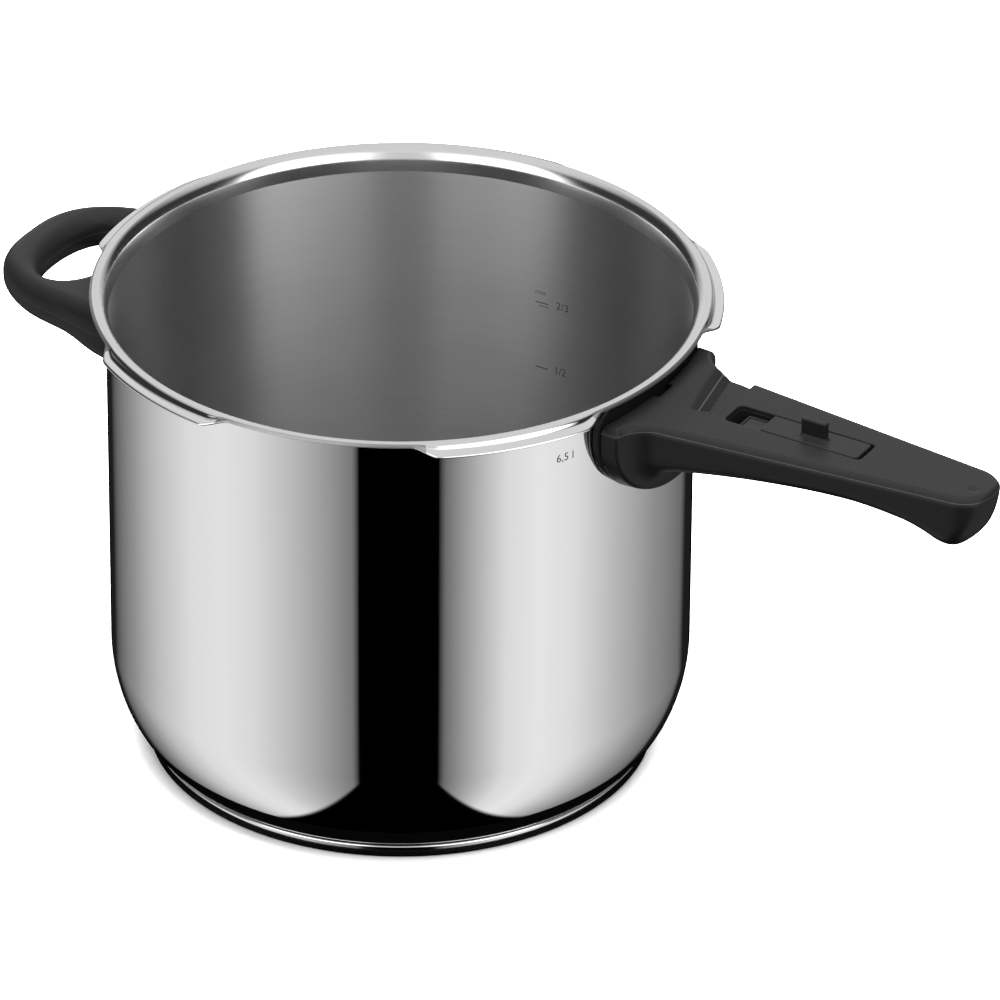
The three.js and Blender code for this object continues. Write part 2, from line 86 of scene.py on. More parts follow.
# Long handle, in millimetres
GRIP_TOP = SLIDE_HIGH.z / MM - 7.3
GRIP_END = GRIP_HIGH.x / MM
END_R = 13.8
TAPER = 0.106
FLANGE_OUT = 121.5
COLLAR_IN = 111.4
COLLAR_OUT = 114.0
SEAM_R = 114.4
SHIELD_HALF = 36.8
SHIELD_MID_Z = 176.0
SHIELD_POWER = 2.2
SHIELD_BOTTOM = 147.0
SLOT = {"x0": 143.5, "x1": 200.6, "half": 6.4, "corner": 2.0}
TROUGH = {"x0": 127.8, "foot": 133.3, "x1": 140.2, "y0": -3.5, "floor": 177.6, "skew": 0.2, "slant": 0.24}
SLIDE = {"x0": 158.2, "x1": 199.1, "half": 5.9, "t": 2.6, "corner": 1.6}
SLIDE_FOOT = {"x0": 192, "x1": 196, "half": 2.1, "z": 171.9}
TAB = {"x0": 173.3, "x1": 183.6, "y0": -1.6, "y1": 1.2}
SPRING = {"turns": 13, "steps_a_turn": 28, "sides": 10, "wire": 0.3}
KEEPER_T = 1.9
KEEPER_SCREWS = ({"x": 141.8, "head": 163.4}, {"x": 203.2, "head": 167.6})
KEEPER_BORE_R = 1.5
KEEPER_HEAD = {"r": 2.6, "height": 1.1}
SCREW_X = 127.0
PIN_Z = 174.6
GAP = 0.3

# Side handle, in millimetres
LOOP_Z = 161.9
LOOP_ROOT = 100.0
LOOP_END = -LOOP_LOW.x / MM - 0.3
LOOP_HALF = 43.5
LOOP_FLARE = 3.5
LOOP_POWER = 2.7
FINGER_HOLE = {"x": 140.1, "half_x": 14.0, "half_y": 25.8, "power": 2.23}
SIDE_SCREW_X = -117.0

# Sockets of a colour mix: its two colours and its result
MIX_A, MIX_B, MIX_RESULT = 6, 7, 2


# ---- Camera, light and stage -------------------------------------------------------------------

def make_camera():
    azimuth, elevation = math.radians(CAMERA_AZIMUTH), math.radians(CAMERA_ELEVATION)
    level = math.cos(elevation)
    back = Vector((level * math.cos(azimuth), level * math.sin(azimuth), math.sin(elevation)))
    right = Vector((-math.sin(azimuth), math.cos(azimuth), 0))
    up = back.cross(right)
    turn = Matrix.Rotation(math.radians(CAMERA_ROLL), 3, back)
    axes = Matrix((turn @ right, turn @ up, back)).transposed()
    data = bpy.data.cameras.new("camera")
    data.lens = CAMERA_LENS
    data.sensor_width = SENSOR
    data.clip_start = 0.1
    data.clip_end = 200
    camera = bpy.data.objects.new("camera", data)
    camera.matrix_world = Matrix.Translation(CAMERA_AT) @ axes.to_4x4()
    bpy.context.scene.collection.objects.link(camera)
    bpy.context.scene.camera = camera


# Light of the studio below the horizon: pairs of (degrees from the camera's side, light).
LOW_LIGHT = [
    (-180, 0.012), (-157, 0.012), (-149, 0.12), (-130, 0.29), (-111, 0.53), (-90, 0.75), (-74, 0.80),
    (-60, 0.73), (-44, 0.54), (-17.5, 0.19), (-16, 0.0), (16, 0.0), (17.5, 0.14), (33, 0.50),
    (43, 0.74), (57, 0.83), (72, 0.76), (95, 0.49), (118, 0.29), (146, 0.15), (153, 0.012), (180, 0.012),
]
# Half-width of the dark strip on the table, as a share of the height above it.
DARK_STRIP = (0.36, 0.40)
# The same above the horizon: soft boxes on the camera's side and one opposite, with dark gaps between.
HIGH_LIGHT = [
    (-180, 0.66), (-160, 0.7), (-148, 0.4), (-140, 0.03), (-68, 0.03), (-58, 1.9), (-46, 2.1),
    (-34, 1.6), (-16, 1.7), (-10, 0.6), (8, 0.6), (16, 1.5), (33, 2.0), (58, 3.0), (66, 0.03),
    (140, 0.03), (148, 0.4), (160, 0.7), (180, 0.66),
]
ZENITH_LIGHT = 0.68
# A large soft box overhead, for what isn't metal
OVERHEAD = {"at": (0.1, 0.1, 2.4), "size": 2.2, "watts": 315}


def grey(value):
    return (value, value, value)


def color_mix(nodes, first=None, second=None):
    node = nodes.new("ShaderNodeMix")
    node.data_type = "RGBA"
    for socket, color in ((MIX_A, first), (MIX_B, second)):
        if color is not None:
            node.inputs[socket].default_value = (*color, 1)
    return node


def math_node(nodes, operation):
    node = nodes.new("ShaderNodeMath")
    node.operation = operation
    return node


def ramp(nodes, stops):
    node = nodes.new("ShaderNodeValToRGB")
    elements = node.color_ramp.elements
    elements.remove(elements[1])
    for i, (angle, light) in enumerate(stops):
        place = (angle + 180) / 360
        element = elements[0] if i == 0 else elements.new(place)
        element.position = place
        element.color = (*grey(light), 1)
    return node


def map_range(nodes, low, high, to_low=0.0, to_high=1.0, smooth=False):
    node = nodes.new("ShaderNodeMapRange")
    node.interpolation_type = "SMOOTHSTEP" if smooth else "LINEAR"
    for name, value in (("From Min", low), ("From Max", high), ("To Min", to_low), ("To Max", to_high)):
        node.inputs[name].default_value = value
    return node


def make_light():
    world = bpy.data.worlds.new("studio")
    bpy.context.scene.world = world
    world.use_nodes = True
    nodes, link = world.node_tree.nodes, world.node_tree.links.new
    coordinates = nodes.new("ShaderNodeTexCoord")
    turn = nodes.new("ShaderNodeMapping")
    turn.vector_type = "POINT"
    turn.inputs["Rotation"].default_value = (0, 0, -math.radians(CAMERA_AZIMUTH))
    split = nodes.new("ShaderNodeSeparateXYZ")
    around = math_node(nodes, "ARCTAN2")
    share = map_range(nodes, -math.pi, math.pi)
    low, high = ramp(nodes, LOW_LIGHT), ramp(nodes, HIGH_LIGHT)
    rise = map_range(nodes, -0.16, 0.1, smooth=True)
    top = map_range(nodes, 0.55, 0.9, smooth=True)
    mix_level = color_mix(nodes)
    mix_top = color_mix(nodes, second=grey(ZENITH_LIGHT))
    link(coordinates.outputs["Generated"], turn.inputs["Vector"])
    link(turn.outputs["Vector"], split.inputs["Vector"])
    link(split.outputs["Y"], around.inputs[0])
    link(split.outputs["X"], around.inputs[1])
    link(around.outputs["Value"], share.inputs["Value"])
    for chosen in (low, high):
        link(share.outputs["Result"], chosen.inputs["Fac"])
    link(split.outputs["Z"], rise.inputs["Value"])
    link(split.outputs["Z"], top.inputs["Value"])
    link(rise.outputs["Result"], mix_level.inputs["Factor"])
    link(dark_strip(nodes, link, split, low), mix_level.inputs[MIX_A])
    link(high.outputs["Color"], mix_level.inputs[MIX_B])
    link(top.outputs["Result"], mix_top.inputs["Factor"])
    link(mix_level.outputs[MIX_RESULT], mix_top.inputs[MIX_A])
    link(mix_top.outputs[MIX_RESULT], nodes["Background"].inputs["Color"])
    make_overhead()


def make_overhead():
    data = bpy.data.lights.new("overhead", "AREA")
    data.energy = OVERHEAD["watts"]
    data.size = OVERHEAD["size"]
    lamp = bpy.data.objects.new("overhead", data)
    lamp.location = OVERHEAD["at"]
    lamp.visible_glossy = False
    lamp.visible_camera = False
    bpy.context.scene.collection.objects.link(lamp)


def dark_strip(nodes, link, split, low):
    """The low light with a dark strip under it that runs towards the camera."""
    slope = math_node(nodes, "DIVIDE")
    size = math_node(nodes, "ABSOLUTE")
    lit = map_range(nodes, *DARK_STRIP, smooth=True)
    strip = color_mix(nodes, first=grey(0))
    link(split.outputs["Y"], slope.inputs[0])
    link(split.outputs["Z"], slope.inputs[1])
    link(slope.outputs["Value"], size.inputs[0])
    link(size.outputs["Value"], lit.inputs["Value"])
    link(lit.outputs["Result"], strip.inputs["Factor"])
    link(low.outputs["Color"], strip.inputs[MIX_B])
    return strip.outputs[MIX_RESULT]


def only_seen_by(obj, camera=False, glossy=False):
    obj.visible_camera = camera
    obj.visible_glossy = glossy
    obj.visible_diffuse = False
    obj.visible_transmission = False
    obj.visible_volume_scatter = False
    obj.visible_shadow = False


def new_object(name, mesh):
    obj = bpy.data.objects.new(name, mesh)
    bpy.context.scene.collection.objects.link(obj)
    return obj


def flat_disc(name, radius, z, material):
    steps = 96
    angles = np.linspace(0, 2 * math.pi, steps, endpoint=False)
    points = np.stack([radius * np.cos(angles), radius * np.sin(angles), np.full(steps, z)], 1)
    mesh = bpy.data.meshes.new(name)
    mesh.from_pydata(points.tolist(), [], [list(range(steps))])
    mesh.materials.append(material)
    obj = new_object(name, mesh)
    return obj


def glow(name, light):
    material = bpy.data.materials.new(name)
    material.use_nodes = True
    nodes = material.node_tree.nodes
    nodes.remove(nodes["Principled BSDF"])
    shader = nodes.new("ShaderNodeEmission")
    shader.inputs["Color"].default_value = (*grey(light), 1)
    material.node_tree.links.new(shader.outputs["Emission"], nodes["Material Output"].inputs["Surface"])
    return material


def make_stage():
    pale = bpy.data.materials.new("floor_pale")
    pale.use_nodes = True
    shader = pale.node_tree.nodes["Principled BSDF"]
    shader.inputs["Base Color"].default_value = (*grey(0.97), 1)
    shader.inputs["Roughness"].default_value = 1
    shader.inputs["Specular IOR Level"].default_value = 0
    only_seen_by(flat_disc("floor", 60, -0.0001, pale), camera=True)
    # Polished steel sees a dark table close to the base.
    only_seen_by(flat_disc("dark_table", 0.105, 0.00005, glow("table_dark", 0.002)), glossy=True)
    bpy.ops.mesh.primitive_uv_sphere_add(segments=48, ring_count=24, radius=55)
    backdrop = bpy.context.object
    backdrop.name = "backdrop"
    backdrop.data.materials.append(glow("backdrop_pale", 0.95))
    only_seen_by(backdrop, camera=True)
    view = bpy.context.scene.view_settings
    view.view_transform = "Standard"
    view.look = "None"


# ---- Materials ---------------------------------------------------------------------------------

class Finish:
    """A Principled material with helpers for the textures that give it its grain."""

    def __init__(self, name, color, metallic, roughness, **sockets):
        self.material = bpy.data.materials.new(name)
        self.material.use_nodes = True
        tree = self.material.node_tree
        self.nodes, self.link = tree.nodes, tree.links.new
        self.shader = self.nodes["Principled BSDF"]
        self.shader.inputs["Base Color"].default_value = (*color, 1)
        self.shader.inputs["Metallic"].default_value = metallic
        self.shader.inputs["Roughness"].default_value = roughness
        for socket, value in sockets.items():
            self.shader.inputs[socket.replace("_", " ")].default_value = value
        self.place = self.nodes.new("ShaderNodeTexCoord").outputs["Object"]

    def noise(self, scale, detail=2.0, stretch=None, roughness=0.5):
        """Noise with scale cells to the metre, or stretch cells along each axis."""
        node = self.nodes.new("ShaderNodeTexNoise")
        node.inputs["Scale"].default_value = scale
        node.inputs["Detail"].default_value = detail
        node.inputs["Roughness"].default_value = roughness
        source = self.place
        if stretch is not None:
            mapping = self.nodes.new("ShaderNodeMapping")
            mapping.inputs["Scale"].default_value = stretch
            self.link(source, mapping.inputs["Vector"])
            source = mapping.outputs["Vector"]
        self.link(source, node.inputs["Vector"])
        return node.outputs["Fac"]

    def ring_noise(self, along, across, detail=3.0):
        """Noise drawn out round the Z axis, on upright walls and on level discs alike."""
        split = self.nodes.new("ShaderNodeSeparateXYZ")
        self.link(self.place, split.inputs["Vector"])
        flat = self.nodes.new("ShaderNodeCombineXYZ")
        self.link(split.outputs["X"], flat.inputs["X"])
        self.link(split.outputs["Y"], flat.inputs["Y"])
        length = self.nodes.new("ShaderNodeVectorMath")
        length.operation = "LENGTH"
        self.link(flat.outputs["Vector"], length.inputs[0])
        line = math_node(self.nodes, "ADD")
        self.link(split.outputs["Z"], line.inputs[0])
        self.link(length.outputs["Value"], line.inputs[1])
        joined = self.nodes.new("ShaderNodeCombineXYZ")
        for axis in "XY":
            self.link(split.outputs[axis], joined.inputs[axis])
        self.link(line.outputs["Value"], joined.inputs["Z"])
        mapping = self.nodes.new("ShaderNodeMapping")
        mapping.inputs["Scale"].default_value = (along, along, across)
        self.link(joined.outputs["Vector"], mapping.inputs["Vector"])
        node = self.nodes.new("ShaderNodeTexNoise")
        node.inputs["Scale"].default_value = 1
        node.inputs["Detail"].default_value = detail
        self.link(mapping.outputs["Vector"], node.inputs["Vector"])
        return node.outputs["Fac"]

    def vary(self, socket, source, low, high):
        node = map_range(self.nodes, 0.3, 0.7, low, high)
        self.link(source, node.inputs["Value"])
        self.link(node.outputs["Result"], self.shader.inputs[socket])

    def tint(self, source, dark, light):
        node = color_mix(self.nodes, dark, light)
        self.link(source, node.inputs["Factor"])
        self.link(node.outputs[MIX_RESULT], self.shader.inputs["Base Color"])
        return node

    def bump(self, source, strength, depth):
        node = self.nodes.new("ShaderNodeBump")
        node.inputs["Strength"].default_value = strength
        node.inputs["Distance"].default_value = depth
        self.link(source, node.inputs["Height"])
        earlier = self.shader.inputs["Normal"].links
        if earlier:
            self.link(earlier[0].from_socket, node.inputs["Normal"])
        self.link(node.outputs["Normal"], self.shader.inputs["Normal"])

    def tangent(self):
        node = self.nodes.new("ShaderNodeTangent")
        node.direction_type = "RADIAL"
        node.axis = "Z"
        self.link(node.outputs["Tangent"], self.shader.inputs["Tangent"])

    def line_at(self, z, half_width):
        """1 on a thin level line at height z, in millimetres, and 0 elsewhere."""
        split = self.nodes.new("ShaderNodeSeparateXYZ")
        self.link(self.place, split.inputs["Vector"])
        node = math_node(self.nodes, "COMPARE")
        node.inputs[1].default_value = z * MM
        node.inputs[2].default_value = half_width * MM
        self.link(split.outputs["Z"], node.inputs[0])
        return node.outputs["Value"]


def polished_steel():
    finish = Finish("steel_polished", grey(0.94), 1, 0.03)
    finish.vary("Roughness", finish.noise(18, detail=4), 0.02, 0.045)
    return finish.material


def rim_steel():
    finish = Finish("steel_rim", grey(0.9), 1, 0.16)
    finish.vary("Roughness", finish.ring_noise(40, 2500), 0.13, 0.2)
    finish.bump(finish.ring_noise(30, 3000), 0.08, 0.00002)
    return finish.material


def brushed_steel():
    finish = Finish("steel_brushed", grey(0.56), 1, 0.45, Anisotropic=1.0, Anisotropic_Rotation=0.25)
    finish.tangent()
    strokes = finish.ring_noise(14, 4200, detail=4)
    finish.tint(strokes, (0.5, 0.5, 0.505), (0.62, 0.62, 0.62))
    finish.vary("Roughness", finish.noise(25, detail=3, stretch=(1, 1, 3)), 0.42, 0.48)
    finish.bump(strokes, 0.12, 0.00003)
    return finish.material


def capsule_steel():
    finish = Finish("steel_capsule", grey(0.9), 1, 0.1)
    finish.vary("Roughness", finish.ring_noise(20, 1500), 0.07, 0.14)
    finish.bump(finish.ring_noise(8, 1400), 0.12, 0.00003)
    return finish.material


def plain_steel(name="steel_plain", tone=0.55, roughness=0.32):
    finish = Finish(name, grey(tone), 1, roughness)
    finish.vary("Roughness", finish.noise(900, detail=3), roughness - 0.07, roughness + 0.08)
    finish.bump(finish.noise(2500, detail=2, stretch=(0.15, 1, 1)), 0.15, 0.00003)
    return finish.material


def aluminium():
    finish = Finish("aluminium_core", grey(0.72), 1, 0.42)
    finish.vary("Roughness", finish.ring_noise(30, 1800), 0.36, 0.5)
    finish.bump(finish.ring_noise(20, 2200), 0.2, 0.00004)
    return finish.material


def black_plastic(name, seam_and_highlight_z=None, tone=0.0065, roughness=0.38):
    finish = Finish(name, grey(tone), 0, roughness, Specular_IOR_Level=0.18)
    grain = finish.noise(2600, detail=3, roughness=0.6)
    mottle = finish.noise(60, detail=3)
    finish.vary("Roughness", mottle, roughness - 0.05, roughness + 0.05)
    body = finish.tint(mottle, grey(tone * 0.9), grey(tone * 1.12))
    if seam_and_highlight_z is not None:
        # Painted highlight: the parting seam is drawn as a thin line lighter than the plastic, and on the
        # grip it runs along the crest of the rounded top edge. The seam's bump below is real.
        line = color_mix(finish.nodes, second=grey(0.03))
        finish.link(finish.line_at(seam_and_highlight_z, 0.11), line.inputs["Factor"])
        finish.link(body.outputs[MIX_RESULT], line.inputs[MIX_A])
        finish.link(line.outputs[MIX_RESULT], finish.shader.inputs["Base Color"])
        finish.bump(finish.line_at(seam_and_highlight_z, 0.16), 0.5, 0.0001)
    finish.bump(grain, 0.28, 0.00006)
    return finish.material


def etched_mark():
    finish = Finish("etched_grey", grey(0.07), 0.4, 0.6)
    finish.tint(finish.noise(3000, detail=2), grey(0.05), grey(0.11))
    return finish.material


# ---- Mesh tools --------------------------------------------------------------------------------

def add_mesh(name, points_mm, faces, materials, face_materials=None, normals=None):
    mesh = bpy.data.meshes.new(name)
    mesh.from_pydata((np.asarray(points_mm) * MM).tolist(), [], faces)
    mesh.polygons.foreach_set("use_smooth", np.ones(len(mesh.polygons), bool))
    for material in materials:
        mesh.materials.append(material)
    if face_materials is not None:
        mesh.polygons.foreach_set("material_index", np.asarray(face_materials, np.int32))
    if normals is not None:
        mesh.normals_split_custom_set_from_vertices(np.asarray(normals, float).tolist())
    mesh.update()
    return new_object(name, mesh)


def finish_piece(obj, body, slot, *nodes):
    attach(obj, body)
    if nodes:
        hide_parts(*nodes)
    return obj


def smooth_line(points, steps=6):
    """A Catmull-Rom curve through the points, as an array of points."""
    p = np.asarray(points, float)
    p = np.concatenate([[2 * p[0] - p[1]], p, [2 * p[-1] - p[-2]]])
    t = np.linspace(0, 1, steps, endpoint=False)[:, None]
    parts = []
    for a, b, c, d in zip(p[:-3], p[1:-2], p[2:-1], p[3:]):
        parts.append(0.5 * (2 * b + (c - a) * t + (2 * a - 5 * b + 4 * c - d) * t**2
                            + (3 * b - a - 3 * c + d) * t**3))
    return np.concatenate([*parts, p[-2:-1]])


def lathe(rings_r, rings_z, closed):
    """Vertices and faces of a turned body: rings_r and rings_z are (turns, points) arrays."""
    turns, count = rings_r.shape
    angles = np.linspace(0, 2 * math.pi, turns, endpoint=False)[:, None]
    points = np.stack([rings_r * np.cos(angles), rings_r * np.sin(angles), rings_z], 2)
    on_axis = [j for j in range(count) if np.all(rings_r[:, j] < 1e-6)]
    index = np.arange(turns * count).reshape(turns, count)
    for j in on_axis:
        index[:, j] = index[0, j]
    faces, bands = [], []
    last = count if closed else count - 1
    after = np.roll(index, -1, axis=0)
    for j in range(last):
        k = (j + 1) % count
        for a, b, c, d in zip(index[:, j], after[:, j], after[:, k], index[:, k]):
            face = [a, b, c, d] if a != b and c != d else ([a, c, d] if a == b else [a, b, c])
            faces.append(face)
            bands.append(j)
    used = np.unique(np.concatenate([np.asarray(f) for f in faces]))
    renumber = np.full(turns * count, -1)
    renumber[used] = np.arange(len(used))
    faces = [[int(renumber[v]) for v in face] for face in faces]
    return points.reshape(-1, 3)[used], faces, np.asarray(bands)


# ---- Solids given by their distance, in millimetres ---------------------------------------------

def round_both(a, b, r):
    """What lies in both solids, with its edge rounded."""
    return np.minimum(np.maximum(a, b), -r) + np.hypot(np.maximum(a + r, 0), np.maximum(b + r, 0))


def round_either(a, b, r):
    """The two solids joined, with the corner between them filled."""
    return np.maximum(np.minimum(a, b), r) - np.hypot(np.maximum(r - a, 0), np.maximum(r - b, 0))


def block(x, y, z, low, high, r):
    """A box with rounded edges."""
    sides = []
    for value, a, b in zip((x, y, z), low, high):
        sides.append(np.abs(value - (a + b) / 2) - ((b - a) / 2 - r))
    outside = np.sqrt(sum(np.maximum(side, 0) ** 2 for side in sides))
    inside = np.minimum(np.maximum(np.maximum(sides[0], sides[1]), sides[2]), 0)
    return outside + inside - r


def pillar(x, y, z, centre, radius, low, high):
    around = np.hypot(x - centre[0], y - centre[1]) - radius
    return np.maximum(around, np.maximum(low - z, z - high))


def oval(u, v, half_u, half_v, power):
    """Distance to a superellipse, good to a few per cent near its line."""
    a, b = np.abs(u) / half_u, np.abs(v) / half_v
    size = np.maximum((a**power + b**power) ** (1 / power), 1e-6)
    slope = np.hypot((a / size) ** (power - 1) / half_u, (b / size) ** (power - 1) / half_v)
    return (size - 1) / np.maximum(slope, 1e-6)


def smoothstep(value, low, high):
    t = np.clip((value - low) / (high - low), 0, 1)
    return t * t * (3 - 2 * t)


def surface(name, distance, low, high, voxel, material):
    """A closed mesh of distance = 0: one vertex to each cell that the surface crosses, drawn onto it."""
    axes = [np.arange(a - 2 * voxel, b + 3 * voxel, voxel) for a, b in zip(low, high)]
    field = distance(*np.meshgrid(*axes, indexing="ij"))
    inside = field < 0
    shape = np.array(field.shape) - 1
    corners = [(i, j, k) for i in (0, 1) for j in (0, 1) for k in (0, 1)]
    filled = np.zeros(shape, np.int8)
    for i, j, k in corners:
        filled += inside[i:shape[0] + i, j:shape[1] + j, k:shape[2] + k]
    cells = np.argwhere((filled > 0) & (filled < 8))
    number = np.full(shape, -1)
    number[tuple(cells.T)] = np.arange(len(cells))
    total, crossings = np.zeros((len(cells), 3)), np.zeros(len(cells))
    for axis in range(3):
        for corner in [c for c in corners if c[axis] == 0]:
            start = cells + corner
            end = start.copy()
            end[:, axis] += 1
            f0, f1 = field[tuple(start.T)], field[tuple(end.T)]
            crossed = (f0 < 0) != (f1 < 0)
            place = start.astype(float)
            place[:, axis] += np.where(crossed, f0 / np.where(crossed, f0 - f1, 1), 0)
            total[crossed] += place[crossed]
            crossings += crossed
    origin = np.array([axis[0] for axis in axes])
    points = origin + voxel * total / crossings[:, None]
    quads = []
    for axis in range(3):
        b, c = (axis + 1) % 3, (axis + 2) % 3
        first = [slice(None)] * 3
        second = [slice(None)] * 3
        first[axis], second[axis] = slice(0, -1), slice(1, None)
        here, there = inside[tuple(first)], inside[tuple(second)]
        for wanted, order in ((here & ~there, (0, 1, 2, 3)), (~here & there, (3, 2, 1, 0))):
            edges = np.argwhere(wanted)
            around = []
            for db, dc in ((1, 1), (0, 1), (0, 0), (1, 0)):
                cell = edges.copy()
                cell[:, b] -= db
                cell[:, c] -= dc
                around.append(number[tuple(cell.T)])
            quads.append(np.stack([around[i] for i in order], 1))
    for _ in range(5):
        value, slope = distance(*points.T), gradient(distance, points)
        step = (value / np.maximum((slope**2).sum(1), 0.05))[:, None] * slope
        length = np.maximum(np.linalg.norm(step, axis=1, keepdims=True), 1e-9)
        points = points - step * np.minimum(1, 0.5 * voxel / length)
    normals = gradient(distance, points)
    normals /= np.maximum(np.linalg.norm(normals, axis=1, keepdims=True), 1e-9)
    return add_mesh(name, points, np.concatenate(quads).tolist(), [material], normals=normals)


def gradient(distance, points, step=0.04):
    slopes = []
    for axis in range(3):
        shift = np.zeros(3)
        shift[axis] = step
        slopes.append((distance(*(points + shift).T) - distance(*(points - shift).T)) / (2 * step))
    return np.stack(slopes, 1)


# ---- Pot ---------------------------------------------------------------------------------------

def lug_weight(azimuth):
    pitch = 360 / LUG_COUNT
    from_lug = np.abs((azimuth - LUG_FIRST + pitch / 2) % pitch - pitch / 2)
    return 1 - smoothstep(from_lug, LUG_HALF - LUG_BLEND / 2, LUG_HALF + LUG_BLEND / 2)


def body_outside():
    """The corner is a quarter of an ellipse that runs into the straight wall."""
    across, down = CORNER_RADII
    heights = BASE_Z + (CORNER_Z - BASE_Z) * np.linspace(0, 1, 22) ** 0.9
    radii = WALL_R - across + across * np.sqrt(1 - ((CORNER_Z - heights) / down) ** 2)
    wall = [[WALL_R, z] for z in (70, 110, 150, 180, 186)]
    return np.concatenate([np.stack([radii, heights], 1), wall])


def body_inside():
    wall = [[WALL_R - SHEET, z] for z in (182, 150, 110, 75, 55)]
    corner = smooth_line([
        [110, 44], [109.4, 36], [107, 25.4], [102.6, 15.2], [96.5, 9.2], [88, 7], [74, 6.6],
    ], steps=4)
    disc = [[r, 6.6] for r in (60, 45, 30, 15, 0)]
    return np.concatenate([wall, corner, disc])


def rim_profile(under, edge):
    inner = [[114.8, RIM_Z], [113.5, 191.1], [112.1, 190.2], [111, 188.8], [110.3, 187.1], [110, 185.2]]
    return smooth_line([[WALL_R, 187.2], *under, *edge, *inner], steps=RIM_STEPS)


def make_shell(outside, inside, rim, etched):
    """Materials 0, 1 and 2 are outside, inside and rim. Between lugs the rim's underside and edge take the
    darker brushed steel too: painted shade for the dark line under the rim.
    """
    plain_under = [[111.5, 188.9], [112.5, 189.8], [115, 190.1], [116.4, 189.8]]
    plain_edge = [[117, 190.1], [116.95, 190.6], [116.6, 190.95], [116, 191.2]]
    lug_under = [[111.5, 188.7], [112.8, 189.2], [115.6, 188.4], [120.1, 187.5]]
    lug_edge = [[LUG_R, 187.8], [121, 188.7], [118, 189.1], [116.9, 190.9]]
    outer, inner = body_outside(), body_inside()
    plain = np.concatenate([outer, rim_profile(plain_under, plain_edge), inner])
    lug = np.concatenate([outer, rim_profile(lug_under, lug_edge), inner])
    profile_rim = len(rim_profile(plain_under, plain_edge))
    floor = np.array([[0, BASE_Z], [60, BASE_Z], [96, BASE_Z]])
    plain, lug = np.concatenate([floor, plain]), np.concatenate([floor, lug])
    azimuths = np.linspace(0, 360, TURNS, endpoint=False)
    weight = lug_weight(azimuths)[:, None]
    rings = [plain[:, i][None] * (1 - weight) + lug[:, i][None] * weight for i in (0, 1)]
    points, faces, bands = lathe(rings[0], rings[1], closed=False)
    rim_start = len(floor) + len(outer)
    edge_end = rim_start + RIM_STEPS * (len(plain_under) + len(plain_edge))
    finish = np.select([bands < edge_end, bands < rim_start + profile_rim], [0, 2], 1)
    # Painted shade: between the lugs the rim's underside and edge get the darker brushed steel, to draw the
    # dark line under the rim.
    at_plain_rim = weight[np.arange(len(bands)) % TURNS, 0] < 0.5
    finish[(bands >= rim_start) & (bands < edge_end) & at_plain_rim] = 1
    shell = add_mesh("pot_steel_shell", points, faces, [outside, inside, rim], finish)
    finish_piece(shell, "pot", "polished_steel", "pot_shell")
    make_marks(etched)


def make_capsule(material):
    bend = CAPSULE_CORNER
    corner = []
    for angle in np.linspace(0, math.pi / 2, 8):
        corner.append([CAPSULE_R - bend + bend * math.sin(angle), bend - bend * math.cos(angle)])
    bead = [[CAPSULE_R, 4.7], [CAPSULE_R - 0.1, 5.05], [CAPSULE_R - 0.35, CAPSULE_TOP]]
    inner, sheet = CAPSULE_R - CAPSULE_SHEET, CAPSULE_SHEET
    lining = [[inner, CAPSULE_TOP], [inner, 1.9], [inner - 1, sheet], [60, sheet], [0, sheet]]
    underside = [[0, 0.25], [30, 0.25], [31, 0.0], [60, 0.0], [61, 0.25], [78, 0.25], [79, 0.0]]
    profile = np.array([*underside, *corner, *bead, *lining])
    rings = [np.repeat(profile[:, i][None], CAPSULE_STEPS, axis=0) for i in (0, 1)]
    points, faces, _ = lathe(rings[0], rings[1], closed=False)
    capsule = add_mesh("base_steel_capsule", points, faces, [material])
    finish_piece(capsule, "pot", "polished_steel", "base_capsule")


# ---- Etched fill marks -------------------------------------------------------------------------

def wrap_on_wall(obj, radius, azimuth, z, outside):
    """Bends a flat mesh in X and Y, in millimetres, round the wall with its left end at azimuth."""
    turn = 1 if outside else -1
    for vertex in obj.data.vertices:
        u, v, depth = vertex.co
        angle = math.radians(azimuth) + turn * u / radius
        r = radius + turn * depth
        vertex.co = Vector((r * math.cos(angle), r * math.sin(angle), z + v)) * MM


def text_mark(name, words, size, material, **where):
    curve = bpy.data.curves.new(name, "FONT")
    curve.body = words
    curve.size = size
    curve.extrude = 0.03
    curve.resolution_u = 3
    letters = new_object(name + "_curve", curve)
    bpy.context.view_layer.update()
    mesh = bpy.data.meshes.new_from_object(letters)
    bpy.data.objects.remove(letters)
    mesh.name = name
    mesh.materials.clear()
    mesh.materials.append(material)
    obj = new_object(name, mesh)
    wrap_on_wall(obj, **where)
    finish_piece(obj, "pot", "plain_steel")


def line_mark(name, length, height, material, **where):
    steps = 12
    points, faces = [], []
    for i in range(steps + 1):
        u = length * i / steps
        points += [(u, 0, -0.03), (u, height, -0.03), (u, height, 0.03), (u, 0, 0.03)]
    for i in range(steps):
        a, b = 4 * i, 4 * i + 4
        for j in range(4):
            k = (j + 1) % 4
            faces.append([a + j, b + j, b + k, a + k])
    faces += [[0, 1, 2, 3], [4 * steps + j for j in (3, 2, 1, 0)]]
    mesh = bpy.data.meshes.new(name)
    mesh.from_pydata(points, [], faces)
    mesh.materials.append(material)
    obj = new_object(name, mesh)
    wrap_on_wall(obj, **where)
    finish_piece(obj, "pot", "plain_steel")


